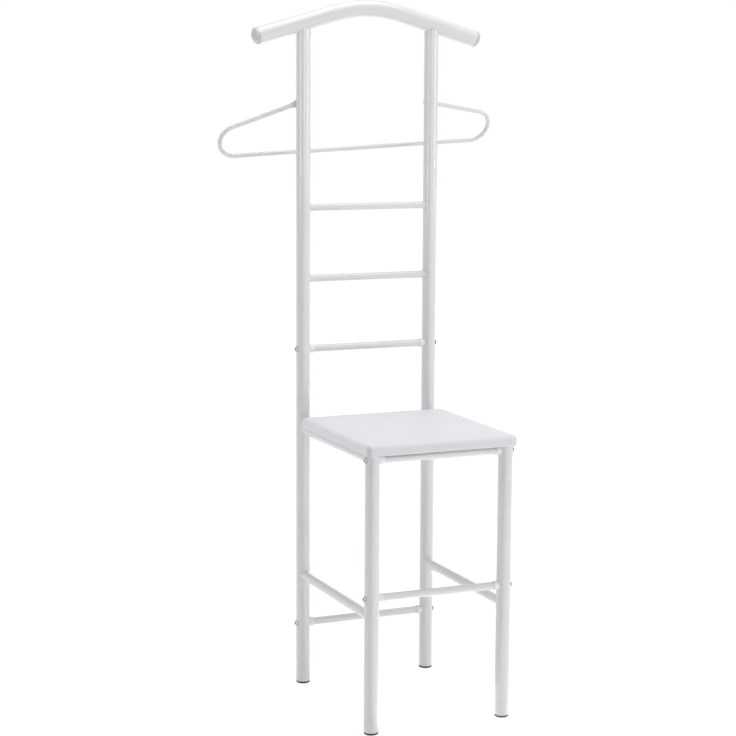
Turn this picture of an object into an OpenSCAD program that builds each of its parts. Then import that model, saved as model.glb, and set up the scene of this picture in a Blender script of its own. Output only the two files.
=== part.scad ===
// Clothes valet chair: a small stool whose rear legs run on up as two uprights, with a bent shoulder
// bar, a wire trouser loop and three rungs. Millimetres, +Z up, the front of the seat faces -Y.
// The origin is on the floor, under the middle of the chair's overall box.

/* [Overall] */
// Height from the floor to the top of the shoulder bar
overall_h = 1222; // [1010:1:1470]
// Spacing of the legs across the chair, between tube axes
leg_pitch_x = 245; // [200:1:300]
// Spacing of the legs from front to back, between tube axes
leg_pitch_y = 310; // [255:1:380]

/* [Frame tubes] */
// Outside diameter of the legs and uprights
tube_d = 25; // [20:0.5:29]
// Wall of the legs and uprights
tube_wall = 1.2; // [1:0.1:2]
// Outside diameter of the four welded side rails
side_rail_d = 16; // [13:0.5:20]
// Outside diameter of the rungs and of the bolted cross rails
rail_d = 13; // [10:0.5:16]
// Wall of the side rails, rungs and cross rails
rail_wall = 1; // [0.8:0.1:1.5]
// Bevel on the outer edge of a square-cut tube end
end_break = 0.4; // [0.2:0.1:0.8]

/* [Heights above the floor] */
// Axis of the rear lower rail
rear_rail_z = 112; // [90:1:140]
// Axis of the two lower side rails
side_rail_z = 201; // [165:1:215]
// Axis of the front lower rail
front_rail_z = 233; // [220:1:280]
// Top of the seat side rails, which the underside of the seat rests on
seat_under_z = 475; // [394:1:520]
// Seam where an upright stands on its rear leg
seam_z = 584; // [560:1:620]
// Height of the lowest rung above the seam
rung_above_seam = 27; // [20:1:40]
// Spacing of the three rungs
rung_pitch = 125; // [100:1:150]

/* [Shoulder bar] */
// Outside diameter of the shoulder bar
bar_d = 30; // [26:0.5:36]
// Wall of the shoulder bar
bar_wall = 1.5; // [1:0.1:2.5]
// Width of the bar over its end caps
bar_span = 434; // [360:1:525]
// Angle by which each arm falls from the middle
bar_fall = 16; // [10:0.5:20]
// Radius of the bend in the middle, on the tube axis
bar_bend_r = 240; // [150:5:280]

/* [Trouser loop] */
// Diameter of the loop's wire
loop_d = 8; // [6:0.5:10]
// Width of the loop over its two bends
loop_span = 522; // [440:1:620]
// Drop from the bar's axis at mid span to the loop's fixings
loop_drop = 163; // [130:1:200]
// Reach of the loop behind the axis of the uprights
loop_reach = 75; // [50:1:100]
// Radius of the two bends, on the wire axis
loop_bend_r = 31; // [24:1:40]
// Angle by which the left arm falls in the loop's plane
loop_fall_left = 23.5; // [14:0.5:28]
// Angle by which the right arm falls, less than the left as the loop sits out of level
loop_fall_right = 10.5; // [8:0.5:14]
// Width of the wire's flattened ends
loop_tab_w = 15; // [12:0.5:18]
// Thickness of the wire's flattened ends
loop_tab_t = 3.2; // [2.5:0.1:4]

/* [Seat] */
// Overhang of the seat beyond the leg tubes at each side
seat_side_over = 3; // [1:0.5:8]
// Overhang of the seat beyond the front leg tubes
seat_front_over = 5.5; // [2:0.5:15]
// Gap between the uprights and the seat's rear edge
seat_rear_gap = 15; // [2:0.5:20]
// Thickness of the seat board
board_t = 12; // [9:0.5:15]
// Thickness of the foam at the seat's edge
foam_t = 4; // [3:0.5:8]
// Extra height of the foam in the middle of the seat
seat_crown = 2.5; // [1:0.5:6]
// Thickness of the seat cover
cover_t = 1; // [0.8:0.1:1.5]
// Corner radius of the seat in plan
seat_corner_r = 10; // [5:1:25]
// Radius of the cover over the seat's top edge, up to the depth of the foam
seat_edge_r = 4.5; // [3:0.5:9]
// How far the cover is drawn in at the middle of each side
side_draw = 0.8; // [0:0.1:1.5]
// Width of the cover's hem under the board, where the washers leave room for it
hem_w = 10; // [8:0.5:14]

/* [Feet, caps and plugs] */
// Height of a foot below its leg
foot_h = 4; // [3:0.5:8]
// Length of the stem that holds a foot or plug in its tube
stem_len = 18; // [12:1:25]
// Length of a bar cap outside the tube
cap_out = 10.5; // [9:0.5:20]
// Thickness of the plug that closes the top of a front leg
plug_t = 1.5; // [1:0.5:3]

/* [Fasteners] */
// Diameter of the cross rail screws
screw_d = 6; // [5:0.5:6]
// Diameter of the cross rail screws' heads
screw_head_d = 11; // [10:0.5:13]
// Height of the cross rail screws' heads
screw_head_h = 3.4; // [2.5:0.1:4]
// Size across the flats of the hexagon sockets in those heads
screw_socket = 4; // [3:0.5:5]
// Length of the threaded plug in each end of a bolted rail
insert_len = 18; // [14:1:24]
// Wall of a saddle spacer around the end of its rail
saddle_wall = 1.15; // [1:0.05:2.5]
// Thickness of a saddle between the tube and the end of the rail
saddle_t = 5; // [3:0.5:8]
// Depth by which a rail's end sits in its saddle
saddle_seat = 1.5; // [1:0.5:3]
// Diameter of the seat screws
seat_screw_d = 4.8; // [4:0.2:5]
// Diameter of the screws that hold the loop
loop_screw_d = 5; // [4:0.5:5]

/* [Hidden] */

$fn = 72;
fit_gap = 0.1;           // radial clearance of stems, spigots and inserts in their tubes
thread_gap = 0.05;       // radial clearance that stands for a thread
hole_gap = 0.25;         // radial clearance of a screw in a drilled wall
over = 1;                // how far a cutting shape passes the face it cuts
bend_thin = 0.1;         // how much thinner a tube or wire is in a bend than in its straight runs
bend_lap = 0.5;          // how far a straight run reaches into the bend it joins

frame_white = "#eef0f3";
seat_white = "#e6e6eb";
cap_white = "#d2cecb";
saddle_white = "#f4f5f8";
foot_black = "#202222";
zinc_grey = "#6d7075";
steel_grey = "#a4a7ab";

tube_r = tube_d / 2;
leg_x = leg_pitch_x / 2;
overall_depth = seat_front_over + tube_r + leg_pitch_y + loop_reach;
rear_y = overall_depth / 2 - loop_reach;
front_y = rear_y - leg_pitch_y;
seat_rail_z = seat_under_z - side_rail_d / 2;
rung_z = [for (i = [0:2]) seam_z + rung_above_seam + i * rung_pitch];
spigot_len = 4 * rung_above_seam;
vent_d = 3.5;

// ---- shared shapes -------------------------------------------------------------------------------

// Tube on the Z axis from z = 0, square cut, with broken outer edges
module tube(d, wall, len) {
    rotate_extrude()
        polygon([
            [d / 2 - wall, 0], [d / 2 - end_break, 0], [d / 2, end_break],
            [d / 2, len - end_break], [d / 2 - end_break, len], [d / 2 - wall, len]]);
}

// Turns a shape made on the Z axis so that it runs along X or along Y
module along_x() rotate([0, 90, 0]) children();
module along_y() rotate([-90, 0, 0]) children();

// Runs its children at each end of a bolted rail, with +X pointing outwards from the rail
module at_both_ends() {
    for (turn = [0, 180])
        rotate([0, 0, turn])
            translate([leg_x, 0, 0])
                children();
}

// Solid leg tube standing at x, y: what a rail's end is cut against
module leg_space(x, y) {
    translate([x, y, 0])
        cylinder(d = tube_d, h = overall_h);
}

// Domed shape on the Z axis: flat underside at z = 0, crown at z = h
module dome(d, h) {
    ball_r = (d * d / 4 + h * h) / (2 * h);
    intersection() {
        translate([0, 0, h - ball_r])
            sphere(r = ball_r);
        cylinder(d = d, h = h + over);
    }
}

// Button head of a screw with a hexagon socket
module button_head(d, h, socket_across) {
    difference() {
        dome(d, h);
        translate([0, 0, 0.4 * h])
            cylinder(d = socket_across / cos(30), h = h, $fn = 6);
    }
}

// Domed head of a screw with a cross recess
module cross_head(d, h) {
    slot = 0.16 * d;
    difference() {
        dome(d, h);
        for (turn = [0, 90])
            rotate([0, 0, turn])
                translate([-0.28 * d, -slot / 2, 0.35 * h])
                    cube([0.56 * d, slot, h]);
    }
}

// Stem of a push-in foot, plug or cap, hanging down from z = 0, with three barbs
module barbed_stem(bore_d, len) {
    barb_r = bore_d / 2 - fit_gap;
    root_r = barb_r - 1.1;
    core_r = root_r - 2;
    step = len / 4;
    rotate_extrude()
        polygon(concat(
            [[core_r, 0], [barb_r, 0], [barb_r, -step / 2]],
            [for (i = [0:2]) each [[root_r, -step * (i + 0.6)], [barb_r, -step * (i + 1.2)],
                                   [barb_r, -step * (i + 1.4)]]],
            [[root_r, -len], [core_r, -len]]));
}

// ---- shoulder bar --------------------------------------------------------------------------------

bar_axis_z = overall_h - bar_d / 2;
bar_arm = (bar_span / 2 - bar_bend_r * sin(bar_fall)) / cos(bar_fall) - cap_out;

// Height of a straight arm's axis above the floor at distance x from the middle
function bar_arm_z(x) = bar_axis_z + bar_bend_r * (1 / cos(bar_fall) - 1) - x * tan(bar_fall);

// Runs its children at the start of each arm, with +Z pointing out along the arm
module at_bar_arms() {
    for (side = [-1, 1])
        translate([side * bar_bend_r * sin(bar_fall), rear_y,
                   bar_axis_z - bar_bend_r * (1 - cos(bar_fall))])
            rotate([0, side * (90 + bar_fall), 0])
                children();
}

// The bar as a solid rod of diameter d, its ends made longer by extra
module bar_rod(d, extra = 0) {
    translate([0, rear_y, bar_axis_z - bar_bend_r])
        rotate([90, 0, 0])
            rotate([0, 0, 90 - bar_fall])
                rotate_extrude(angle = 2 * bar_fall)
                    translate([bar_bend_r, 0])
                        circle(d = d - bend_thin);
    at_bar_arms()
        translate([0, 0, -bend_lap])
            cylinder(d = d, h = bar_arm + bend_lap + extra);
}

module hanger_bar() {
    color(frame_white)
        difference() {
            bar_rod(bar_d);
            bar_rod(bar_d - 2 * bar_wall, over);
        }
}

// Domed plastic cap in the open end of the bar, a shadow groove between its rim and the tube
module bar_cap(side) {
    groove = 0.8;
    rim = 3;
    color(cap_white)
        translate([side * bar_bend_r * sin(bar_fall), rear_y,
                   bar_axis_z - bar_bend_r * (1 - cos(bar_fall))])
            rotate([0, side * (90 + bar_fall), 0])
                translate([0, 0, bar_arm]) {
                    cylinder(d = bar_d - 1.4 * bar_wall, h = rim);
                    translate([0, 0, groove])
                        cylinder(d = bar_d, h = rim - groove);
                    translate([0, 0, rim])
                        dome(bar_d, cap_out - rim);
                    barbed_stem(bar_d - 2 * bar_wall, stem_len);
                }
}

// ---- uprights and rear legs ----------------------------------------------------------------------

// Clearance hole for a cross rail screw, right through a leg from side to side
module screw_hole(z) {
    translate([0, 0, z])
        along_x()
            cylinder(d = screw_d + 2 * hole_gap, h = tube_d + 2 * over, center = true);
}

loop_z = bar_axis_z - loop_drop;
nut_flange_t = 0.8;
nut_body_d = loop_screw_d + 2;

// Upper tube of the back: coped and welded under the bar, drilled for the lower rung and the loop
module upright(side) {
    color(frame_white)
        difference() {
            translate([side * leg_x, rear_y, 0])
                difference() {
                    translate([0, 0, seam_z])
                        tube(tube_d, tube_wall, bar_arm_z(leg_x) + tube_d - seam_z);
                    screw_hole(rung_z[0]);
                    translate([0, 0, loop_z])
                        along_y()
                            cylinder(d = nut_body_d + 2 * fit_gap, h = tube_d);
                }
            bar_rod(bar_d);
            // everything above the arm's axis
            translate([side * leg_x, rear_y, bar_arm_z(leg_x)])
                rotate([0, side * bar_fall, 0])
                    translate([-tube_d, -tube_d, 0])
                        cube([2 * tube_d, 2 * tube_d, 3 * tube_d]);
        }
}

// Sleeve inside the seam, crossed by the lower rung's screw
module spigot(side) {
    color(steel_grey)
        translate([side * leg_x, rear_y, 0])
            difference() {
                translate([0, 0, seam_z - spigot_len / 2])
                    tube(tube_d - 2 * tube_wall - 2 * fit_gap, tube_wall + 0.3, spigot_len);
                screw_hole(rung_z[0]);
            }
}

module rear_leg(side) {
    color(frame_white)
        translate([side * leg_x, rear_y, 0])
            difference() {
                translate([0, 0, foot_h])
                    tube(tube_d, tube_wall, seam_z - foot_h);
                screw_hole(rear_rail_z);
            }
}

// ---- front legs ----------------------------------------------------------------------------------

leg_top_z = seat_under_z - plug_t;

module front_leg(side) {
    color(frame_white)
        translate([side * leg_x, front_y, 0])
            difference() {
                translate([0, 0, foot_h])
                    tube(tube_d, tube_wall, leg_top_z - foot_h);
                screw_hole(front_rail_z);
                screw_hole(seat_rail_z);
            }
}

// White plug that closes the top of a front leg under the seat; its stem stops above the screw
module leg_plug(side) {
    plug_stem = min(stem_len, leg_top_z - seat_rail_z - screw_d / 2 - 1);
    color(frame_white)
        translate([side * leg_x, front_y, leg_top_z]) {
            cylinder(d = tube_d, h = plug_t);
            translate([0, 0, -plug_stem])
                cylinder(d = tube_d - 2 * tube_wall - 2 * fit_gap, h = plug_stem);
        }
}

// ---- welded rails --------------------------------------------------------------------------------

// Side rail along Y between a rear and a front leg, coped to both, with a vent hole under it
module side_tube(side, z) {
    difference() {
        translate([side * leg_x, front_y, z])
            along_y()
                difference() {
                    cylinder(d = side_rail_d, h = leg_pitch_y);
                    translate([0, 0, -over])
                        cylinder(d = side_rail_d - 2 * rail_wall, h = leg_pitch_y + 2 * over);
                }
        leg_space(side * leg_x, front_y);
        leg_space(side * leg_x, rear_y);
        translate([side * leg_x, front_y + tube_d, z - side_rail_d])
            cylinder(d = vent_d, h = side_rail_d);
    }
}

module lower_side_rail(side) {
    color(frame_white)
        side_tube(side, side_rail_z);
}

// Places of the seat screws along a seat side rail
seat_screw_y = [for (share = [0.2, 0.8]) front_y + share * leg_pitch_y];

// Upper side rail: a clearance hole on top for each seat screw, a larger one under it for the head
module seat_side_rail(side) {
    color(frame_white)
        difference() {
            side_tube(side, seat_rail_z);
            for (y = seat_screw_y)
                translate([side * leg_x, y, seat_rail_z]) {
                    cylinder(d = seat_screw_d + 2 * hole_gap, h = side_rail_d);
                    translate([0, 0, -side_rail_d])
                        cylinder(d = 2 * seat_screw_d + 4 * hole_gap, h = side_rail_d);
                }
        }
}

// Rung welded between the uprights
module welded_rung(z) {
    color(frame_white)
        difference() {
            translate([-leg_x, rear_y, z])
                along_x()
                    difference() {
                        cylinder(d = rail_d, h = leg_pitch_x);
                        translate([0, 0, -over])
                            cylinder(d = rail_d - 2 * rail_wall, h = leg_pitch_x + 2 * over);
                    }
            leg_space(-leg_x, rear_y);
            leg_space(leg_x, rear_y);
        }
}

// ---- bolted rails --------------------------------------------------------------------------------

saddle_d = rail_d + 2 * (fit_gap + saddle_wall);
rail_end_x = leg_x - tube_r - saddle_t;
bolted_rails = [
    [rear_y, rung_z[0]], [front_y, seat_rail_z], [front_y, front_rail_z], [rear_y, rear_rail_z]];

module at_rail(i) {
    translate([0, bolted_rails[i][0], bolted_rails[i][1]])
        children();
}

module bolted_rail(i) {
    color(frame_white)
        at_rail(i)
            translate([-rail_end_x, 0, 0])
                along_x()
                    tube(rail_d, rail_wall, 2 * rail_end_x);
}

// Plastic spacer at each end of a rail: hollowed to the leg on one side, a seat for the rail inside
module saddles(i) {
    wing = min(0.85 * (tube_r - sqrt(tube_r * tube_r - saddle_d * saddle_d / 4)),
               tube_r - side_rail_d / 2 - fit_gap);
    color(saddle_white)
        at_rail(i)
            at_both_ends()
                difference() {
                    translate([-tube_r - saddle_t - saddle_seat, 0, 0])
                        along_x()
                            cylinder(d = saddle_d, h = saddle_seat + saddle_t + wing);
                    translate([-tube_r - saddle_t - saddle_seat - over, 0, 0])
                        along_x()
                            cylinder(d = rail_d + 2 * fit_gap, h = saddle_seat + over);
                    translate([-2 * tube_d, 0, 0])
                        along_x()
                            cylinder(d = screw_d + 2 * hole_gap, h = 2 * tube_d);
                    translate([0, 0, -tube_d])
                        cylinder(d = tube_d, h = 2 * tube_d);
                }
}

// Threaded plugs fixed flush in the ends of the bolted rails
module rail_inserts() {
    color(steel_grey)
        for (i = [0:3])
            at_rail(i)
                at_both_ends()
                    translate([-tube_r - saddle_t - insert_len, 0, 0])
                        along_x()
                            tube(rail_d - 2 * rail_wall - 2 * fit_gap,
                                 (rail_d - 2 * rail_wall - 2 * fit_gap - screw_d) / 2 - thread_gap,
                                 insert_len);
}

// Domed machine screws through the legs into the inserts
module rail_screws() {
    shank = tube_d + saddle_t + insert_len - 3;
    color(zinc_grey)
        for (i = [0:3])
            at_rail(i)
                at_both_ends()
                    translate([tube_r, 0, 0])
                        along_x() {
                            button_head(screw_head_d, screw_head_h, screw_socket);
                            translate([0, 0, -shank])
                                cylinder(d = screw_d, h = shank);
                        }
}

// ---- trouser loop --------------------------------------------------------------------------------

// The loop is bent flat, then leans back from its fixings. In its own plane x runs across the chair
// and y up the plane, from the line between the two fixing screws.
loop_tab_y = tube_r + nut_flange_t + loop_tab_t / 2;
loop_bend_x = loop_span / 2 - loop_d / 2 - loop_bend_r;
function arm_run(fall) = (loop_bend_x - leg_x + loop_bend_r * sin(fall)) / cos(fall);
function bend_drop(fall) = arm_run(fall) * sin(fall) + loop_bend_r * cos(fall);
loop_depth = max(bend_drop(loop_fall_left), bend_drop(loop_fall_right)) + loop_bend_r;
loop_lean = asin((loop_reach - loop_d / 2 - loop_tab_y) / loop_depth);
loop_tilt = atan((bend_drop(loop_fall_left) - bend_drop(loop_fall_right)) / (2 * loop_bend_x));
loop_neck = loop_tab_w + 3;   // along the arm from the screw to where the wire is round

module in_loop_plane() {
    translate([0, rear_y + loop_tab_y, loop_z])
        rotate([90 + loop_lean, 0, 0])
            children();
}

// Straight wire from a point of the loop's plane, at an angle in that plane, from one length along
// it to another
module wire(from, angle, start, end, d = loop_d) {
    translate(from)
        rotate([0, 0, angle])
            translate([start, 0, 0])
                along_x()
                    cylinder(d = d, h = end - start, $fn = 32);
}

module wire_bend(centre, start, sweep) {
    translate(centre)
        rotate([0, 0, start])
            rotate_extrude(angle = sweep)
                translate([loop_bend_r, 0])
                    circle(d = loop_d - bend_thin, $fn = 32);
}

// Flattened end: a drilled paddle against the upright that swells back into the round wire
module loop_end(side, fall) {
    translate([side * leg_x, rear_y + loop_tab_y, loop_z])
        along_y()
            difference() {
                cylinder(d = loop_tab_w, h = loop_tab_t, center = true);
                cylinder(d = loop_screw_d + 2 * hole_gap, h = 2 * loop_tab_t, center = true);
            }
    difference() {
        hull() {
            translate([side * leg_x, rear_y + loop_tab_y, loop_z])
                rotate([0, side * atan(tan(fall) * cos(loop_lean)), 0])
                    translate([side * loop_tab_w / 4, 0, 0])
                        cube([loop_tab_w / 2, loop_tab_t, 0.9 * loop_tab_w], center = true);
            in_loop_plane()
                wire([side * leg_x, 0, 0], side > 0 ? -fall : 180 + fall, loop_neck, loop_neck + 1,
                     loop_d - 2 * bend_thin);
        }
        translate([side * leg_x, rear_y + loop_tab_y, loop_z])
            along_y()
                cylinder(d = loop_tab_w - 1, h = 4 * loop_tab_t, center = true);
    }
}

module trouser_loop() {
    color(frame_white) {
        in_loop_plane() {
            left = [-loop_bend_x, -bend_drop(loop_fall_left), 0];
            right = [loop_bend_x, -bend_drop(loop_fall_right), 0];
            wire([-leg_x, 0, 0], 180 + loop_fall_left, loop_neck, arm_run(loop_fall_left) + bend_lap);
            wire_bend(left, 90 + loop_fall_left, 180 + loop_tilt - loop_fall_left);
            wire(left + loop_bend_r * [sin(loop_tilt), -cos(loop_tilt), 0], loop_tilt,
                 -bend_lap, 2 * loop_bend_x / cos(loop_tilt) + bend_lap);
            wire_bend(right, 270 + loop_tilt, 180 - loop_tilt - loop_fall_right);
            wire([leg_x, 0, 0], -loop_fall_right, loop_neck, arm_run(loop_fall_right) + bend_lap);
        }
        loop_end(-1, loop_fall_left);
        loop_end(1, loop_fall_right);
    }
}

// Nuts pulled into the rear wall of the uprights, their flanges under the loop's ends
module loop_rivet_nuts() {
    nut_len = 12;
    color(steel_grey)
        for (side = [-1, 1])
            translate([side * leg_x, rear_y + tube_r, loop_z])
                along_y()
                    difference() {
                        union() {
                            cylinder(d = nut_body_d + 3, h = nut_flange_t);
                            translate([0, 0, -nut_len])
                                cylinder(d = nut_body_d, h = nut_len);
                        }
                        translate([0, 0, -nut_len - over])
                            cylinder(d = loop_screw_d + 2 * thread_gap, h = nut_len + tube_d);
                    }
}

module loop_screws() {
    shank = loop_tab_t + nut_flange_t + 9;
    color(zinc_grey)
        for (side = [-1, 1])
            translate([side * leg_x, rear_y + loop_tab_y + loop_tab_t / 2, loop_z])
                along_y() {
                    cross_head(2 * loop_screw_d, 2.8);
                    translate([0, 0, -shank])
                        cylinder(d = loop_screw_d, h = shank);
                }
}

// ---- seat ----------------------------------------------------------------------------------------

seat_hx = leg_x + tube_r + seat_side_over;
seat_front_y = front_y - tube_r - seat_front_over;
seat_rear_y = rear_y - tube_r - seat_rear_gap;
seat_hy = (seat_rear_y - seat_front_y) / 2;
seat_mid_y = (seat_rear_y + seat_front_y) / 2;
board_z = seat_under_z + cover_t;
seat_edge_z = board_z + board_t + foam_t + cover_t;
edge_r = min(seat_edge_r, cover_t + foam_t - 3 * fit_gap);
board_inset = cover_t + side_draw + fit_gap;
washer_d = 2 * seat_screw_d;
hem_in = min(hem_w, tube_r + seat_side_over - washer_d / 2 - 3 * fit_gap);
crown_insets = [9, 16, 27, 42, 62, 86, 112];

// Rounded rectangle at an inset from the seat's outline, its sides drawn in between the corners
corner_steps = 5;
side_steps = 4;
function square_turn(q) = [[1, 1], [-1, 1], [-1, -1], [1, -1]][q % 4];
function corner_mid(q, r, hx, hy) =
    [square_turn(q)[0] * (hx - r), square_turn(q)[1] * (hy - r)];
function corner_at(q, a, r, hx, hy) = corner_mid(q, r, hx, hy) + r * [cos(q * 90 + a), sin(q * 90 + a)];
function drawn(p, hx, hy) =
    [p[0] * (1 - side_draw / hx * (1 - pow(p[1] / hy, 2))),
     p[1] * (1 - side_draw / hy * (1 - pow(p[0] / hx, 2)))];
function seat_ring(inset, z) =
    let (hx = seat_hx - inset, hy = seat_hy - inset, r = max(seat_corner_r - inset, 3))
    [for (q = [0:3])
        let (last = corner_at(q, 90, r, hx, hy), next = corner_at(q + 1, 0, r, hx, hy))
        for (p = concat([for (i = [0:corner_steps]) corner_at(q, i * 90 / corner_steps, r, hx, hy)],
                        [for (i = [1:side_steps - 1]) last + (next - last) * i / side_steps]))
            let (d = drawn(p, hx, hy))
            [d[0], d[1] + seat_mid_y, z]];

// Crown of the seat above its edge, at an inset from the outline
function crown_at(inset) = seat_crown * (1 - pow(1 - min(inset / seat_hx, 1), 2));

// Rings of the cover's skin at depth t below its outer face, from the middle of the top to the side
function skin_top(t) = concat(
    [for (i = [len(crown_insets) - 1:-1:0])
        seat_ring(crown_insets[i], seat_edge_z - t + crown_at(crown_insets[i]))],
    [for (a = [90:-18:0])
        seat_ring(t + (edge_r - t) * (1 - cos(a)),
                  seat_edge_z - edge_r + (edge_r - t) * sin(a) + crown_at(edge_r) * sin(a))]);

// Closed solid through rings with the same number of points, the first and last one capped flat
module loft(rings) {
    n = len(rings[0]);
    rows = len(rings);
    polyhedron(
        points = [for (ring = rings, p = ring) p],
        faces = concat(
            [[for (i = [n - 1:-1:0]) i]],
            [for (row = [0:rows - 2], i = [0:n - 1])
                let (a = row * n + i, b = row * n + (i + 1) % n)
                each [[a, b, b + n], [a, b + n, a + n]]],
            [[for (i = [0:n - 1]) (rows - 1) * n + i]]));
}

module rounded_plate(hx, hy, r, t) {
    linear_extrude(t)
        union() {
            square([2 * hx - 2 * r, 2 * hy], center = true);
            square([2 * hx, 2 * hy - 2 * r], center = true);
            for (x = [-1, 1], y = [-1, 1])
                translate([x * (hx - r), y * (hy - r)])
                    circle(r = r);
        }
}

module seat_board() {
    color("#b08d62")
        difference() {
            translate([0, seat_mid_y, board_z])
                rounded_plate(seat_hx - board_inset, seat_hy - board_inset,
                              seat_corner_r - board_inset, board_t);
            for (x = [-leg_x, leg_x], y = seat_screw_y)
                translate([x, y, board_z - over])
                    cylinder(d = seat_screw_d + 2 * thread_gap, h = 0.75 * board_t + over);
        }
}

module seat_foam() {
    inner = cover_t + fit_gap;
    color("#e9dfa6")
        loft(concat(skin_top(inner), [seat_ring(inner, board_z + board_t + fit_gap)]));
}

// White cover: one skin over the foam and down the board's edge, turned under as a hem
module seat_cover() {
    turn = 1.2;   // roundness of the lower edge
    hem_top = board_z - 0.02;
    inside = skin_top(cover_t);
    color(seat_white)
        loft(concat(
            skin_top(0),
            [seat_ring(0, seat_under_z + 2 * turn), seat_ring(0.3 * turn, seat_under_z + 0.5 * turn),
             seat_ring(turn, seat_under_z), seat_ring(hem_in, seat_under_z),
             seat_ring(hem_in, hem_top), seat_ring(cover_t, hem_top)],
            [for (i = [len(inside) - 1:-1:0]) inside[i]]));
}

// Staples that hold the hem, left out over the legs
module cover_staples() {
    crown_w = 10;
    wire_t = 0.6;
    pitch = 42;
    inset = 0.6 * hem_in;
    color(zinc_grey) {
        for (side = [-1, 1], i = [-2:2])
            translate([side * (seat_hx - inset), seat_mid_y + i * pitch, seat_under_z - wire_t / 2])
                cube([2 * wire_t, crown_w, wire_t], center = true);
        for (y = [seat_front_y + inset, seat_rear_y - inset], i = [-2:2])
            translate([i * pitch, y, seat_under_z - wire_t / 2])
                cube([crown_w, 2 * wire_t, wire_t], center = true);
    }
}

// Washers as thick as the hem, so that the board lies level on the side rails
module seat_washers() {
    color(saddle_white)
        for (x = [-leg_x, leg_x], y = seat_screw_y)
            translate([x, y, seat_under_z])
                difference() {
                    cylinder(d = washer_d, h = cover_t);
                    translate([0, 0, -over])
                        cylinder(d = seat_screw_d + 2 * hole_gap, h = cover_t + 2 * over);
                }
}

// Screws up into the board, their heads inside the side rails against the top of the bore
module seat_screws() {
    bore_r = side_rail_d / 2 - rail_wall - thread_gap;
    head_z = seat_rail_z + sqrt(bore_r * bore_r - seat_screw_d * seat_screw_d);
    shank = seat_under_z + cover_t + 0.6 * board_t - head_z;
    color(zinc_grey)
        for (x = [-leg_x, leg_x], y = seat_screw_y)
            translate([x, y, head_z])
                rotate([180, 0, 0]) {
                    cross_head(2 * seat_screw_d, 2.6);
                    translate([0, 0, -shank])
                        cylinder(d = seat_screw_d, h = shank);
                }
}

// ---- feet ----------------------------------------------------------------------------------------

// Black push-in foot: a rounded glide as wide as the leg, flat underneath
module foot(x, y) {
    round_r = foot_h - 1;
    color(foot_black)
        translate([x, y, 0]) {
            rotate_extrude()
                union() {
                    square([tube_r - round_r, foot_h]);
                    translate([0, round_r])
                        square([tube_r, foot_h - round_r]);
                    translate([tube_r - round_r, round_r])
                        intersection() {
                            circle(r = round_r);
                            translate([0, -round_r])
                                square(round_r);
                        }
                }
            translate([0, 0, foot_h])
                rotate([180, 0, 0])
                    barbed_stem(tube_d - 2 * tube_wall, stem_len);
        }
}

// ---- assembly ------------------------------------------------------------------------------------

hanger_bar();
bar_cap(-1);  // bar_cap_left
bar_cap(1);  // bar_cap_right
upright(-1);  // upright_left
upright(1);  // upright_right
welded_rung(rung_z[2]);  // rung_upper
welded_rung(rung_z[1]);  // rung_middle
bolted_rail(0);  // rung_lower
trouser_loop();
loop_screws();
loop_rivet_nuts();
spigot(-1);  // spigot_left
spigot(1);  // spigot_right
rear_leg(-1);  // rear_leg_left
rear_leg(1);  // rear_leg_right
front_leg(-1);  // front_leg_left
front_leg(1);  // front_leg_right
seat_side_rail(-1);  // seat_rail_left
seat_side_rail(1);  // seat_rail_right
lower_side_rail(-1);  // side_rail_left
lower_side_rail(1);  // side_rail_right
bolted_rail(1);  // front_seat_rail
bolted_rail(2);  // front_lower_rail
bolted_rail(3);  // rear_lower_rail
saddles(0);  // rung_saddles
saddles(1);  // front_seat_saddles
saddles(2);  // front_lower_saddles
saddles(3);  // rear_lower_saddles
rail_inserts();
rail_screws();
leg_plug(-1);  // leg_plug_left
leg_plug(1);  // leg_plug_right
foot(-leg_x, rear_y);  // foot_rear_left
foot(leg_x, rear_y);  // foot_rear_right
foot(-leg_x, front_y);  // foot_front_left
foot(leg_x, front_y);  // foot_front_right
seat_board();
seat_foam();
seat_cover();
cover_staples();
seat_washers();
seat_screws();
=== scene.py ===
import math

import bmesh
import bpy
from mathutils import Matrix, Vector, noise


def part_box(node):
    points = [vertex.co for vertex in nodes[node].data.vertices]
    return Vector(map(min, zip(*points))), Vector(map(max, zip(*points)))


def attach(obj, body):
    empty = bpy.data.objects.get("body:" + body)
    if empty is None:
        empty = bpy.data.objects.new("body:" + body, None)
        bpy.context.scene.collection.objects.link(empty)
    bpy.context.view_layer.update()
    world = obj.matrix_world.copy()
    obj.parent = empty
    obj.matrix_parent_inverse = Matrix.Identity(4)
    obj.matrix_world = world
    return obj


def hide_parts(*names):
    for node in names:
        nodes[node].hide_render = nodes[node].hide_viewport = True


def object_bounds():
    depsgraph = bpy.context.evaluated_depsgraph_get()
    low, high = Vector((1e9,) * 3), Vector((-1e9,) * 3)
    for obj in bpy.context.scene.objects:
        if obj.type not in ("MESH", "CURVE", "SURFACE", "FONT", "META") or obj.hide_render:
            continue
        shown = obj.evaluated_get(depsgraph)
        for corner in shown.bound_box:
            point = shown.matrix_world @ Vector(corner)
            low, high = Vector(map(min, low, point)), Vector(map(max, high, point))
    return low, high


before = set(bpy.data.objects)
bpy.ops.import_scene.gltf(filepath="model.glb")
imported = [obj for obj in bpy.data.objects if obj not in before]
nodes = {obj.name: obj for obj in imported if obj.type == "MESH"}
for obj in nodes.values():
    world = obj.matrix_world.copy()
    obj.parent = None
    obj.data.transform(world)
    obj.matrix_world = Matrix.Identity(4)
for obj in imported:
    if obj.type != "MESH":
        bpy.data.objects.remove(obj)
cad_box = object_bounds()

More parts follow.
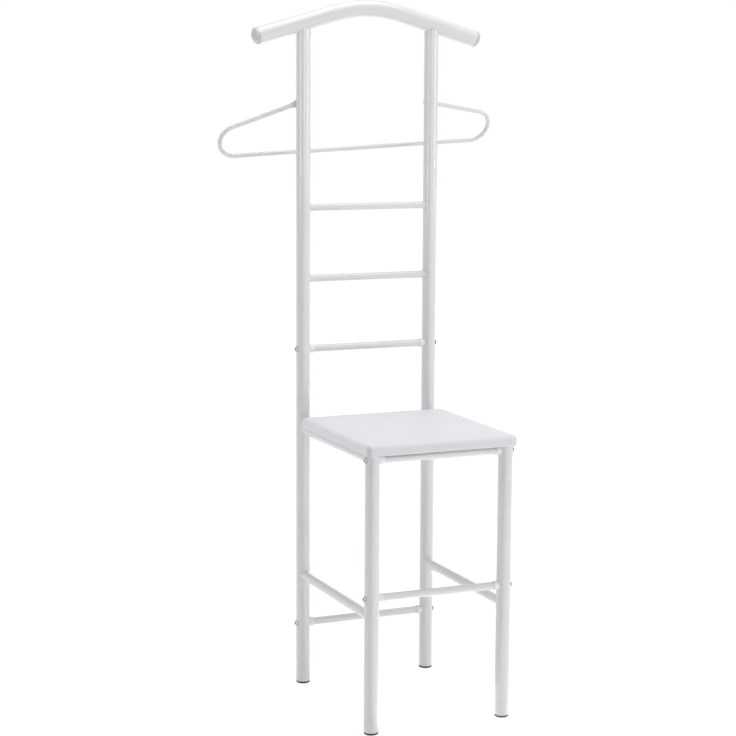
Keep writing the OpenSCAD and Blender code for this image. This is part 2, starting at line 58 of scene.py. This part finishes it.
# --------------------------------------------------------------------------------------------------
# Camera. It stands 3.5 m from the chair, in front of it and to its left, at the height of the
# trouser loop, and looks slightly down through a long lens.
camera_x, camera_ahead, camera_z = -1.39996, 3.23647, 1.09475
yaw, pitch, roll = 0.409, 0.1477, 0.0054
picture_width, focal_pixels, sensor_width = 736, 1981.0, 36.0
legs_y = sum(v[1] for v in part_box("rear_leg_left")) / 2

bpy.ops.object.camera_add(location=(camera_x, legs_y - camera_ahead, camera_z))
camera = bpy.context.object
camera.name = "photo_camera"
turned = (Matrix.Rotation(-yaw, 4, "Z") @ Matrix.Rotation(math.pi / 2 - pitch, 4, "X")
          @ Matrix.Rotation(roll, 4, "Z"))
camera.rotation_euler = turned.to_euler()
camera.data.sensor_width = sensor_width
camera.data.lens = focal_pixels / picture_width * sensor_width
camera.data.clip_start = 0.05
camera.data.clip_end = 60
bpy.context.scene.camera = camera
bpy.context.scene.view_settings.view_transform = "Standard"


# --------------------------------------------------------------------------------------------------
# Studio. A white floor runs into a white surround, brighter in gloss from the front round to the
# chair's right. Soft banks light the chair from overhead and from both sides, and three upright
# strip lights, which show in gloss only, draw lines down the upper tubes.
def link(tree, from_node, output, to_node, name):
    tree.links.new(from_node.outputs[output], to_node.inputs[name])


def seen_directly(tree):
    """1 where the surface is seen by the camera, in gloss or through a clear material."""
    path = tree.nodes.new("ShaderNodeLightPath")
    seen = path.outputs["Is Camera Ray"]
    for other_way in ("Is Glossy Ray", "Is Transmission Ray"):
        either = tree.nodes.new("ShaderNodeMath")
        either.operation = "MAXIMUM"
        tree.links.new(seen, either.inputs[0])
        tree.links.new(path.outputs[other_way], either.inputs[1])
        seen = either.outputs[0]
    return seen


def join(tree, kind, first, second, share=None):
    """Adds two shaders, or mixes them by the share of the second one."""
    both = tree.nodes.new(kind)
    if share is not None:
        tree.links.new(share, both.inputs["Fac"])
    shader_inputs = [socket for socket in both.inputs if socket.type == "SHADER"]
    tree.links.new(first.outputs[0], shader_inputs[0])
    tree.links.new(second.outputs[0], shader_inputs[1])
    return both


def show_walls(tree, view, light, shades):
    """Makes a light as bright as the studio's walls look in gloss. shades holds the brightness
    along the way round the chair: 0 and 1 are behind it, 0.5 is in front, then comes its right."""
    parts = tree.nodes.new("ShaderNodeSeparateXYZ")
    tree.links.new(view, parts.inputs["Vector"])
    ahead = tree.nodes.new("ShaderNodeMath")
    ahead.operation = "MULTIPLY"
    ahead.inputs[1].default_value = -1
    link(tree, parts, "Y", ahead, 0)
    bearing = tree.nodes.new("ShaderNodeMath")
    bearing.operation = "ARCTAN2"
    link(tree, parts, "X", bearing, 0)
    link(tree, ahead, 0, bearing, 1)
    turn = tree.nodes.new("ShaderNodeMapRange")
    turn.inputs["From Min"].default_value = -math.pi
    turn.inputs["From Max"].default_value = math.pi
    link(tree, bearing, 0, turn, "Value")
    wall = tree.nodes.new("ShaderNodeValToRGB")
    brightest = max(shade for start, shade in shades)
    for start, shade in shades:
        stop = wall.color_ramp.elements[0] if start == 0 else wall.color_ramp.elements.new(start)
        stop.color = (*[shade / brightest] * 3, 1)
    wall.color_ramp.elements.remove(wall.color_ramp.elements[-1])
    link(tree, turn, "Result", wall, "Fac")
    link(tree, wall, "Color", light, "Color")
    light.inputs["Strength"].default_value = brightest


# where each wall starts, and how bright it looks
surround_shades = ((0, 1), (0.403, 1), (0.411, 1.8), (0.655, 1.8), (0.675, 1))
floor_shades = ((0, 1), (0.433, 1), (0.441, 2.9), (0.6, 2.6), (0.68, 1.6), (0.9, 1.4))

surround = bpy.data.worlds.new("white_surround")
bpy.context.scene.world = surround
surround.use_nodes = True
tree = surround.node_tree
tree.nodes.clear()
lit = tree.nodes.new("ShaderNodeBackground")
lit.inputs["Color"].default_value = (0.985, 0.985, 1.0, 1)
lit.inputs["Strength"].default_value = 0.3
shown = tree.nodes.new("ShaderNodeBackground")
way = tree.nodes.new("ShaderNodeTexCoord")
show_walls(tree, way.outputs["Generated"], shown, surround_shades)
sky = tree.nodes.new("ShaderNodeOutputWorld")
link(tree, join(tree, "ShaderNodeMixShader", lit, shown, seen_directly(tree)), 0, sky, "Surface")
surround.cycles.sampling_method = "NONE"

# the floor throws the lamps' light back onto the chair and glows a little itself. The eye sees it
# white, very slightly greyer close to the feet, with the chair's shadow on it.
floor_size, under_feet = 30, 0.0002
near_feet, far_away = 0.5, 2.5
bpy.ops.object.select_all(action="DESELECT")
bpy.ops.mesh.primitive_plane_add(size=floor_size, location=(0, 0, -under_feet))
floor = bpy.context.object
floor.name = "studio_floor"
paper = bpy.data.materials.new("white_floor")
paper.use_nodes = True
tree = paper.node_tree
tree.nodes.clear()
for_light = tree.nodes.new("ShaderNodeBsdfDiffuse")
for_light.inputs["Color"].default_value = (0.88, 0.88, 0.88, 1)
from_below = tree.nodes.new("ShaderNodeEmission")
from_below.inputs["Strength"].default_value = 0.28
for_pieces = join(tree, "ShaderNodeAddShader", for_light, from_below)
shadowed = tree.nodes.new("ShaderNodeBsdfDiffuse")
shadowed.inputs["Color"].default_value = (0.15, 0.15, 0.15, 1)
where = tree.nodes.new("ShaderNodeTexCoord")
away = tree.nodes.new("ShaderNodeVectorMath")
away.operation = "LENGTH"
link(tree, where, "Object", away, 0)
whiter = tree.nodes.new("ShaderNodeMapRange")
whiter.inputs["From Min"].default_value = near_feet
whiter.inputs["From Max"].default_value = far_away
whiter.inputs["To Min"].default_value = 0.95
whiter.inputs["To Max"].default_value = 1.0
link(tree, away, "Value", whiter, "Value")
glow = tree.nodes.new("ShaderNodeEmission")
link(tree, whiter, "Result", glow, "Strength")
in_gloss = tree.nodes.new("ShaderNodeEmission")
show_walls(tree, where.outputs["Object"], in_gloss, floor_shades)
path = tree.nodes.new("ShaderNodeLightPath")
eye_or_gloss = join(tree, "ShaderNodeMixShader", glow, in_gloss, path.outputs["Is Glossy Ray"])
for_eye = join(tree, "ShaderNodeAddShader", shadowed, eye_or_gloss)
paper_out = tree.nodes.new("ShaderNodeOutputMaterial")
link(tree, join(tree, "ShaderNodeMixShader", for_pieces, for_eye, seen_directly(tree)), 0,
     paper_out, "Surface")
paper.cycles.emission_sampling = "NONE"
floor.data.materials.append(paper)

# name, direction from the chair (degrees from -Y, positive towards +X), distance, height of its
# middle, width, height, watts, what it lights
lamps = [
    ("strip_left", -66, 3.5, 1.03, 0.70, 0.84, 17, "gloss"),
    ("strip_front", -2.5, 3.5, 1.08, 0.70, 0.74, 10, "gloss"),
    ("strip_right", 54, 3.5, 1.06, 0.70, 0.78, 17, "gloss"),
    ("bank_left", -112, 3.2, 0.9, 2.0, 1.8, 14.5, "colour"),
    ("bank_right", 60, 3.2, 0.8, 2.4, 1.5, 26, "colour"),
]
for name, bearing, away, height, width, tall, watts, lights in lamps:
    turn = math.radians(bearing)
    spot = Vector((math.sin(turn) * away, -math.cos(turn) * away, height))
    bpy.ops.object.light_add(type="AREA", location=spot)
    lamp = bpy.context.object
    lamp.name = name
    lamp.data.shape = "RECTANGLE"
    lamp.data.size = width
    lamp.data.size_y = tall
    lamp.data.energy = watts
    lamp.visible_glossy = lights != "colour"
    lamp.visible_diffuse = lights != "gloss"
    lamp.visible_camera = False
    lamp.rotation_euler = (Vector((0, 0, height)) - spot).to_track_quat("-Z", "Y").to_euler()

# the overhead bank hangs a little in front of the chair and aims between the seat and the bar
bpy.ops.object.light_add(type="AREA", location=(0.15, -0.3, 3.4))
bank = bpy.context.object
bank.name = "bank_overhead"
bank.data.size = 2.4
bank.data.energy = 58
bank.visible_camera = False
bank.rotation_euler = (Vector((0, 0, 0.75)) - bank.location).to_track_quat("-Z", "Y").to_euler()


# --------------------------------------------------------------------------------------------------
# Frame: steel tube and wire in a glossy white powder coat. The coat is slightly uneven, like
# orange peel, and goes on after welding, so the welds carry it too.
def new_finish(name):
    """A material with an empty tree of its own: the shader, the tree and the object coordinates."""
    material = bpy.data.materials.new(name)
    material.use_nodes = True
    tree = material.node_tree
    tree.nodes.clear()
    shader = tree.nodes.new("ShaderNodeBsdfPrincipled")
    out = tree.nodes.new("ShaderNodeOutputMaterial")
    link(tree, shader, "BSDF", out, "Surface")
    place = tree.nodes.new("ShaderNodeTexCoord")
    return material, shader, tree, place


def speckle(tree, place, scale, detail):
    """Noise over the piece, scale cells to the metre."""
    grain = tree.nodes.new("ShaderNodeTexNoise")
    grain.inputs["Scale"].default_value = scale
    grain.inputs["Detail"].default_value = detail
    link(tree, place, "Object", grain, "Vector")
    return grain


def cells(tree, place, scale):
    """Small cells over the piece, scale of them to the metre."""
    pattern = tree.nodes.new("ShaderNodeTexVoronoi")
    pattern.inputs["Scale"].default_value = scale
    link(tree, place, "Object", pattern, "Vector")
    return pattern


def two_tone(tree, by, low, high, start=0.35, end=0.65, output="Fac"):
    """A ramp from one colour to another, driven by a pattern."""
    ramp = tree.nodes.new("ShaderNodeValToRGB")
    ramp.color_ramp.elements[0].position = start
    ramp.color_ramp.elements[0].color = (*low, 1)
    ramp.color_ramp.elements[1].position = end
    ramp.color_ramp.elements[1].color = (*high, 1)
    link(tree, by, output, ramp, "Fac")
    return ramp


def uneven_gloss(tree, by, shader, low, high):
    """Lets the roughness wander from low to high with a pattern."""
    band = tree.nodes.new("ShaderNodeMapRange")
    band.inputs["From Min"].default_value = 0.3
    band.inputs["From Max"].default_value = 0.7
    band.inputs["To Min"].default_value = low
    band.inputs["To Max"].default_value = high
    link(tree, by, "Fac", band, "Value")
    link(tree, band, "Result", shader, "Roughness")


def bump(tree, by, shader, strength, height, output="Fac"):
    """Dents the surface with a pattern, height metres deep."""
    dent = tree.nodes.new("ShaderNodeBump")
    dent.inputs["Strength"].default_value = strength
    dent.inputs["Distance"].default_value = height
    link(tree, by, output, dent, "Height")
    link(tree, dent, "Normal", shader, "Normal")


def give(material, *names):
    """Puts a material on CAD nodes."""
    for name in names:
        for slot in nodes[name].material_slots:
            slot.material = material


coat_grey, coat_white = (0.752, 0.758, 0.772), (0.775, 0.78, 0.792)
powder_coat, shader, tree, place = new_finish("white_powder_coat")
shader.inputs["IOR"].default_value = 1.5
shader.inputs["Coat Weight"].default_value = 1.0
shader.inputs["Coat Roughness"].default_value = 0.12
shader.inputs["Specular IOR Level"].default_value = 0.1
tone = two_tone(tree, speckle(tree, place, scale=9, detail=2), coat_grey, coat_white)
link(tree, tone, "Color", shader, "Base Color")
uneven_gloss(tree, speckle(tree, place, scale=60, detail=4), shader, low=0.3, high=0.4)
bump(tree, speckle(tree, place, scale=420, detail=2), shader, strength=0.04, height=0.0003)
give(powder_coat, "hanger_bar", "upright_left", "upright_right", "rung_upper", "rung_middle",
     "rung_lower", "trouser_loop", "rear_leg_left", "rear_leg_right", "front_leg_left",
     "front_leg_right", "seat_rail_left", "seat_rail_right", "side_rail_left", "side_rail_right",
     "front_seat_rail", "front_lower_rail", "rear_lower_rail")

# --------------------------------------------------------------------------------------------------
# Weld beads: the coped ends of the side rails, of two rungs and of the uprights are welded all
# round. Each bead is a low rippled fillet in the corner, under the same white coat.
leg_r, bar_r, bar_bend_r = 0.0125, 0.015, 0.24
bar_fall = math.radians(16)
bead_r, bar_bead_r = 0.0014, 0.0009
ripples, ripple_depth = 26, 0.10
lump_scale, lump_depth, lump_shift = 260, 0.22, 40


def bead(name, centre, out, across, tube_r, host_r, fall=0.0, thick=bead_r):
    """A bead round a tube that runs from centre along out and meets a round host of radius host_r.
    across is the host's axis. fall leans the host's axis towards out."""
    bpy.ops.object.select_all(action="DESELECT")
    bpy.ops.mesh.primitive_torus_add(major_radius=tube_r, minor_radius=thick,
                                     major_segments=96, minor_segments=12)
    ring = bpy.context.object
    ring.name = name
    side = across.cross(out)
    mesh = ring.data
    for v in mesh.vertices:
        ring_x, ring_y, up = v.co
        angle = math.atan2(ring_y, ring_x)
        reach = math.hypot(ring_x, ring_y)
        ripple = 1 + ripple_depth * math.sin(angle * ripples) + lump_depth * noise.noise(
            Vector((ring_x, ring_y, up)) * lump_scale + centre * lump_shift)
        reach = tube_r + (reach - tube_r) * ripple
        beside = reach * math.sin(angle)
        along = reach * math.cos(angle)
        stand = (math.sqrt(max(host_r ** 2 - beside ** 2, 0))
                 + along * math.sin(fall)) / math.cos(fall)
        v.co = centre + side * beside + across * along + out * (stand + up * ripple)
    bpy.ops.object.mode_set(mode="EDIT")
    bpy.ops.mesh.select_all(action="SELECT")
    bpy.ops.mesh.normals_make_consistent(inside=False)
    bpy.ops.object.mode_set(mode="OBJECT")
    bpy.ops.object.shade_smooth()
    mesh.materials.append(powder_coat)
    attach(ring, "root")


x_axis, y_axis, z_axis = Vector((1, 0, 0)), Vector((0, 1, 0)), Vector((0, 0, 1))
for side in ("left", "right"):
    low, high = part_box("rear_leg_" + side)
    leg_x = (low[0] + high[0]) / 2
    low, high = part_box("front_leg_" + side)
    front_y = (low[1] + high[1]) / 2
    inward = -x_axis if leg_x > 0 else x_axis
    for rail in ("seat_rail_", "side_rail_"):
        low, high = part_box(rail + side)
        rail_z, rail_r = (low[2] + high[2]) / 2, (high[2] - low[2]) / 2
        bead(rail + side + "_weld_rear", Vector((leg_x, legs_y, rail_z)), -y_axis, z_axis,
             rail_r, leg_r)
        bead(rail + side + "_weld_front", Vector((leg_x, front_y, rail_z)), y_axis, z_axis,
             rail_r, leg_r)
    for rung in ("rung_upper", "rung_middle"):
        low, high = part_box(rung)
        rung_z, rung_r = (low[2] + high[2]) / 2, (high[2] - low[2]) / 2
        bead(rung + "_weld_" + side, Vector((leg_x, legs_y, rung_z)), inward, z_axis, rung_r, leg_r)
    arm_z = cad_box[1][2] - bar_r + bar_bend_r * (1 / math.cos(bar_fall) - 1) - abs(
        leg_x) * math.tan(bar_fall)
    bead("bar_weld_" + side, Vector((leg_x, legs_y, arm_z)), -z_axis, inward, leg_r, bar_r,
         bar_fall, bar_bead_r)

# --------------------------------------------------------------------------------------------------
# Bar caps: domed push-in caps of satin plastic, a little warmer and greyer than the frame, with a
# thin shadow groove between the rim and the tube.
cap_grey, cap_pale = (0.65, 0.628, 0.615), (0.69, 0.672, 0.663)
cap_plastic, shader, tree, place = new_finish("light_grey_plastic")
shader.inputs["Roughness"].default_value = 0.3
tone = two_tone(tree, speckle(tree, place, scale=120, detail=3), cap_grey, cap_pale)
link(tree, tone, "Color", shader, "Base Color")
bump(tree, speckle(tree, place, scale=900, detail=2), shader, strength=0.08, height=0.0002)
give(cap_plastic, "bar_cap_left", "bar_cap_right")

# --------------------------------------------------------------------------------------------------
# Saddles, leg plugs and seat washers: small injection mouldings in satin white plastic, whiter than
# the coat. The saddles stand between the bolted rails and the tubes.
moulding_grey, moulding_white = (0.88, 0.885, 0.9), (0.91, 0.915, 0.93)
moulding, shader, tree, place = new_finish("white_moulding")
shader.inputs["Roughness"].default_value = 0.42
tone = two_tone(tree, speckle(tree, place, scale=200, detail=3), moulding_grey, moulding_white)
link(tree, tone, "Color", shader, "Base Color")
bump(tree, speckle(tree, place, scale=1500, detail=2), shader, strength=0.1, height=0.0002)
give(moulding, "rung_saddles", "front_seat_saddles", "front_lower_saddles", "rear_lower_saddles",
     "leg_plug_left", "leg_plug_right", "seat_washers")

# --------------------------------------------------------------------------------------------------
# Screws: pressed steel under a dull zinc plate, which is cloudy and a little brighter in patches.
# They hold the bolted rails, the ends of the trouser loop and the seat.
zinc_dark, zinc_bright = (0.33, 0.335, 0.35), (0.5, 0.505, 0.52)
zinc, shader, tree, place = new_finish("zinc_plate")
shader.inputs["Metallic"].default_value = 1.0
tone = two_tone(tree, speckle(tree, place, scale=500, detail=4), zinc_dark, zinc_bright)
link(tree, tone, "Color", shader, "Base Color")
uneven_gloss(tree, speckle(tree, place, scale=900, detail=3), shader, low=0.22, high=0.4)
bump(tree, speckle(tree, place, scale=2500, detail=3), shader, strength=0.15, height=0.0001)
give(zinc, "rail_screws", "loop_screws", "seat_screws")

# --------------------------------------------------------------------------------------------------
# Hidden steel: the spigots, threaded plugs and rivet nuts inside the tubes, and the staples under
# the seat, are bare drawn steel.
steel_dark, steel_bright = (0.42, 0.42, 0.43), (0.56, 0.56, 0.57)
bare_steel, shader, tree, place = new_finish("bare_steel")
shader.inputs["Metallic"].default_value = 1.0
tone = two_tone(tree, speckle(tree, place, scale=300, detail=4), steel_dark, steel_bright)
link(tree, tone, "Color", shader, "Base Color")
uneven_gloss(tree, speckle(tree, place, scale=700, detail=2), shader, low=0.25, high=0.45)
give(bare_steel, "spigot_left", "spigot_right", "rail_inserts", "loop_rivet_nuts",
     "cover_staples")

# --------------------------------------------------------------------------------------------------
# Feet: black plastic glides, pushed into the open leg ends. They are moulded with a fine matt
# grain and are scuffed greyer in places.
glide_black, glide_scuff = (0.018, 0.019, 0.019), (0.04, 0.042, 0.042)
glide, shader, tree, place = new_finish("black_glide")
shader.inputs["Roughness"].default_value = 0.5
tone = two_tone(tree, speckle(tree, place, scale=350, detail=5), glide_black, glide_scuff)
link(tree, tone, "Color", shader, "Base Color")
bump(tree, speckle(tree, place, scale=1400, detail=3), shader, strength=0.2, height=0.0003)
give(glide, "foot_rear_left", "foot_rear_right", "foot_front_left", "foot_front_right")

# --------------------------------------------------------------------------------------------------
# Seat board and foam: a board of bare pressed chips, seen only from below inside the cover's hem,
# and a thin sheet of cream foam on it, hidden by the cover.
chip_dark, chip_pale = (0.40, 0.35, 0.29), (0.62, 0.57, 0.49)
chipboard, shader, tree, place = new_finish("chipboard")
shader.inputs["Roughness"].default_value = 0.75
chips = cells(tree, place, scale=260)
tone = two_tone(tree, chips, chip_dark, chip_pale, start=0.05, end=0.75, output="Distance")
link(tree, tone, "Color", shader, "Base Color")
bump(tree, chips, shader, strength=0.3, height=0.0004, output="Distance")
give(chipboard, "seat_board")

foam_dark, foam_pale = (0.7, 0.63, 0.38), (0.86, 0.8, 0.55)
foam_finish, shader, tree, place = new_finish("cream_foam")
shader.inputs["Roughness"].default_value = 0.95
tone = two_tone(tree, speckle(tree, place, scale=1200, detail=3), foam_dark, foam_pale)
link(tree, tone, "Color", shader, "Base Color")
give(foam_finish, "seat_foam")

# --------------------------------------------------------------------------------------------------
# Seat pad: white imitation leather pulled over thin foam and a board, stapled underneath. The
# board keeps its sides upright, the foam crowns the top, and at each corner the cover is tucked
# in under the top edge in one upright fold.
crown, crown_reach = 0.0025, 0.06
corner_r, top_r, under_r = 0.010, 0.0065, 0.0025
start_gap, voxel = 0.0004, 0.0030
low, high = (Vector(v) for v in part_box("seat_cover"))
middle = (low + high) / 2
half_x, half_y = (high.x - low.x) / 2, (high.y - low.y) / 2
edge_top = high.z - crown

bpy.ops.object.select_all(action="DESELECT")
bpy.ops.mesh.primitive_cube_add(size=1, location=(middle.x, middle.y, (low.z + edge_top) / 2))
pad = bpy.context.object
pad.name = "seat_pad"
pad.scale = (2 * half_x - 2 * start_gap, 2 * half_y - 2 * start_gap, edge_top - low.z)
bpy.ops.object.transform_apply(location=True, rotation=True, scale=True)
bpy.ops.object.mode_set(mode="EDIT")


def pick_edges(obj, wanted):
    """Selects only the edges whose two ends are as wanted."""
    work = bmesh.from_edit_mesh(obj.data)
    for part in (*work.faces, *work.edges, *work.verts):
        part.select = False
    for e in work.edges:
        if wanted(e.verts[0].co, e.verts[1].co):
            e.select = True
    bmesh.update_edit_mesh(obj.data)


def upright(a, b):
    return abs(a.z - b.z) > 1e-4


touch = 1e-5
bpy.ops.mesh.select_mode(type="EDGE")
pick_edges(pad, upright)
bpy.ops.mesh.bevel(offset=corner_r, segments=6)
pick_edges(pad, lambda a, b: min(a.z, b.z) > edge_top - touch)
bpy.ops.mesh.bevel(offset=top_r, segments=4)
pick_edges(pad, lambda a, b: max(a.z, b.z) < low.z + touch)
bpy.ops.mesh.bevel(offset=under_r, segments=3)
bpy.ops.object.mode_set(mode="OBJECT")
pad.data.remesh_voxel_size = voxel
pad.data.remesh_voxel_adaptivity = 0
bpy.ops.object.voxel_remesh()


def swell_at(inset):
    """How high the foam may crown the top, at a distance inside the pad's edge."""
    return crown * (1 - (1 - min(max(inset, 0) / crown_reach, 1)) ** 2)


# the cloth swells for 20 steps, held by its staples, and its moves are capped
steps, stapled_height = 20, 0.004
most_sideways, most_sunk = 0.0006, 0.001
started = [v.co.copy() for v in pad.data.vertices]
held = pad.vertex_groups.new(name="stapled")
held.add([v.index for v in pad.data.vertices if v.co.z < low.z + stapled_height], 1.0,
         "REPLACE")
soft = pad.modifiers.new("inflate", "CLOTH")
soft.settings.quality = 6
soft.settings.mass = 0.3
soft.settings.tension_stiffness = 15
soft.settings.compression_stiffness = 15
soft.settings.bending_stiffness = 0.5
soft.settings.vertex_group_mass = "stapled"
soft.settings.use_pressure = True
soft.settings.uniform_pressure_force = 4
soft.settings.effector_weights.gravity = 0
soft.point_cache.frame_start = 1
soft.point_cache.frame_end = steps
for step in range(1, steps + 1):
    bpy.context.scene.frame_set(step)
swollen = pad.evaluated_get(bpy.context.evaluated_depsgraph_get()).to_mesh()
puffed = [v.co.copy() for v in swollen.vertices]
pad.modifiers.remove(soft)
bpy.context.scene.frame_set(1)
for v, was, now in zip(pad.data.vertices, started, puffed):
    move = now - was
    sideways = Vector((move.x, move.y, 0))
    if sideways.length > most_sideways:
        sideways *= most_sideways / sideways.length
    from_side = min(half_x - abs(was.x - middle.x), half_y - abs(was.y - middle.y))
    lift = max(min(move.z, swell_at(from_side)), -most_sunk)
    v.co = was + sideways + Vector((0, 0, lift))
detail = pad.modifiers.new("fine", "SUBSURF")
detail.levels = detail.render_levels = 1
bpy.ops.object.modifier_apply(modifier="fine")

# the four corners get finer faces, for the folds
fine_corner = 0.013
bpy.ops.object.mode_set(mode="EDIT")
bpy.ops.mesh.select_mode(type="FACE")
work = bmesh.from_edit_mesh(pad.data)
for f in work.faces:
    at = f.calc_center_median() - middle
    f.select = abs(at.x) > half_x - fine_corner and abs(at.y) > half_y - fine_corner
bmesh.update_edit_mesh(pad.data)
bpy.ops.mesh.subdivide(number_cuts=2, quadcorner="STRAIGHT_CUT")
bpy.ops.object.mode_set(mode="OBJECT")

# the foam and the board hold the cover out to its full shape, and the staples pull it in below
draw, staple_pitch, staple_pull = 0.0008, 0.042, 0.0003
full_pull, no_pull = 0.002, 0.010
side_depth, underside, crown_share = 0.006, 0.0002, 0.9


def eased(value, start, end):
    """0 before start, 1 after end, smooth between."""
    part = min(max((value - start) / (end - start), 0), 1)
    return part * part * (3 - 2 * part)


def to_outline(x, y):
    """How far a point lies inside the pad's outline in plan, and the way straight out to it. The
    sides are drawn in between the corners."""
    wide = half_x - draw * (1 - (y / half_y) ** 2)
    deep = half_y - draw * (1 - (x / half_x) ** 2)
    off = Vector((abs(x) - wide + corner_r, abs(y) - deep + corner_r))
    if min(off) > 0:
        straight_out = Vector((math.copysign(off.x, x), math.copysign(off.y, y), 0)).normalized()
        return corner_r - off.length, straight_out
    if off.x > off.y:
        return corner_r - off.x, Vector((math.copysign(1, x), 0, 0))
    return corner_r - off.y, Vector((0, math.copysign(1, y), 0))


def rolled_in(edge_r, depth):
    """How far an edge that is rounded to edge_r lies inside the side, at a depth from its face."""
    return edge_r - math.sqrt(edge_r ** 2 - (edge_r - depth) ** 2)


for v in pad.data.vertices:
    x, y = v.co.x - middle.x, v.co.y - middle.y
    inset, outwards = to_outline(x, y)
    up, down = v.co.z - low.z, edge_top + crown_share * swell_at(inset) - v.co.z
    if down < inset:
        rise = math.sqrt(max(top_r ** 2 - (top_r - min(max(inset, 0), top_r)) ** 2, 0))
        v.co.z += max(down - top_r + rise, 0)
        down = min(down, top_r - rise)
    if inset < side_depth and up > underside and down > 0:
        along = y if abs(outwards.x) > 0.5 else x
        pull = staple_pull * (0.5 + 0.5 * math.cos(2 * math.pi * along / staple_pitch))
        wall = pull * (1 - eased(up, full_pull, no_pull))
        if up < under_r:
            wall += rolled_in(under_r, up)
        if down < top_r:
            wall += rolled_in(top_r, down)
        if inset > wall:
            v.co += outwards * (inset - wall)

# the folds: a soft hollow round the corner with a crease in it, deepest under the top edge and
# stopped by the board below. Each lies a little off the corner's middle, towards the side or round
# on the front or back face.
fold_depth, fold_width, fold_reach = 0.0015, 0.0040, 0.02
fold_starts, fold_full = 0.0008, 0.0026
lip_height, lip_away, lip_width = 0.0006, 0.0065, 0.0022
pit_depth, pit_width, pit_down, pit_height = 0.0008, 0.0035, 0.0031, 0.0014
towards_side, round_on_face = 0.0015, 0.0035
over_board, sink_at_board = 0.0004, 0.0012
board_low, board_high = (Vector(v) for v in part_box("seat_board"))


def from_fold(x, y):
    """How far a point lies along the outline from the nearest fold."""
    off = Vector((abs(x) - half_x + corner_r, abs(y) - half_y + corner_r))
    along = corner_r * (math.atan2(max(off.y, 0), max(off.x, 1e-9)) - math.pi / 4)
    fold_at = round_on_face if x > 0 or y > 0 else -towards_side
    return along - min(off.x, 0) + min(off.y, 0) - fold_at


for v in pad.data.vertices:
    x, y = v.co.x - middle.x, v.co.y - middle.y
    inset, outwards = to_outline(x, y)
    off, down = from_fold(x, y), edge_top - v.co.z
    if abs(off) > fold_reach or inset > side_depth:
        continue
    hollow = fold_depth * math.exp(-abs(off) / fold_width)
    hollow -= lip_height * math.exp(-((abs(off) - lip_away) / lip_width) ** 2)
    pit = pit_depth * math.exp(-(off / pit_width) ** 2 - ((down - pit_down) / pit_height) ** 2)
    deep = hollow * eased(down, fold_starts, fold_full) + pit
    if v.co.z < board_high.z + over_board:
        deep = min(deep, sink_at_board - inset)
    v.co -= outwards * deep

# inside, the pad is cut out for the board, and below the board it is open within the hem
hem, board_gap, board_inset = 0.010, 0.0001, 0.0019
cutters = [
    ("board_hollow", board_low.z - board_gap / 2, board_high.z + board_gap,
     board_high.x + board_gap, (board_high.y - board_low.y) / 2 + board_gap,
     corner_r - board_inset),
    ("hem_opening", low.z - 0.002, board_low.z + 0.001, half_x - hem, half_y - hem, 0.002),
]
for name, bottom, top, wide, deep, round_r in cutters:
    bpy.ops.object.select_all(action="DESELECT")
    bpy.ops.mesh.primitive_cube_add(size=1, location=(middle.x, middle.y, (bottom + top) / 2))
    cutter = bpy.context.object
    cutter.scale = (2 * wide, 2 * deep, top - bottom)
    bpy.ops.object.transform_apply(location=True, rotation=True, scale=True)
    bpy.ops.object.mode_set(mode="EDIT")
    bpy.ops.mesh.select_mode(type="EDGE")
    pick_edges(cutter, upright)
    bpy.ops.mesh.bevel(offset=round_r, segments=6)
    bpy.ops.object.mode_set(mode="OBJECT")
    bpy.context.view_layer.objects.active = pad
    cut = pad.modifiers.new(name, "BOOLEAN")
    cut.operation = "DIFFERENCE"
    cut.solver = "EXACT"
    cut.object = cutter
    bpy.ops.object.modifier_apply(modifier=name)
    bpy.data.objects.remove(cutter)

# painted shade in the folds: the cover's colour is darkened along each crease, less so at the right
painted_shade_width, painted_shade_at_right = 0.004, 0.5
painted_shade_from, painted_shade_full = 0.001, 0.002
fold = pad.data.attributes.new("fold", "FLOAT", "POINT")
for v, mark in zip(pad.data.vertices, fold.data):
    x, y = v.co.x - middle.x, v.co.y - middle.y
    painted_shade = math.exp(-(from_fold(x, y) / painted_shade_width) ** 2) * eased(
        edge_top - v.co.z, painted_shade_from, painted_shade_full)
    mark.value = painted_shade * (to_outline(x, y)[0] < side_depth) * (painted_shade_at_right if x > 0 else 1)

vinyl_grey, vinyl_white = (0.834, 0.825, 0.868), (0.854, 0.845, 0.887)
# the darker grey below is painted shade for the folds' creases, not a colour of the cover
vinyl_painted_shade = (0.70, 0.698, 0.722)
vinyl, shader, tree, place = new_finish("white_imitation_leather")
shader.inputs["Roughness"].default_value = 0.42
shader.inputs["Specular IOR Level"].default_value = 0.2
shader.inputs["Sheen Weight"].default_value = 0.05
tone = two_tone(tree, speckle(tree, place, scale=14, detail=3), vinyl_grey, vinyl_white)
# the fold attribute mixes the painted crease shade into the cover's colour
painted_shade_in_fold = tree.nodes.new("ShaderNodeAttribute")
painted_shade_in_fold.attribute_name = "fold"
painted_shade_mix = tree.nodes.new("ShaderNodeMixRGB")
painted_shade_mix.inputs["Color2"].default_value = (*vinyl_painted_shade, 1)
link(tree, painted_shade_in_fold, "Fac", painted_shade_mix, "Fac")
link(tree, tone, "Color", painted_shade_mix, "Color1")
link(tree, painted_shade_mix, "Color", shader, "Base Color")
pores = cells(tree, place, scale=900)
bump(tree, pores, shader, strength=0.12, height=0.0002, output="Distance")
pad.data.materials.clear()
pad.data.materials.append(vinyl)
for polygon in pad.data.polygons:
    polygon.material_index = 0
bpy.ops.object.select_all(action="DESELECT")
pad.select_set(True)
bpy.ops.object.shade_smooth_by_angle(angle=math.radians(50))
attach(pad, "root")
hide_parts("seat_cover", "seat_foam")
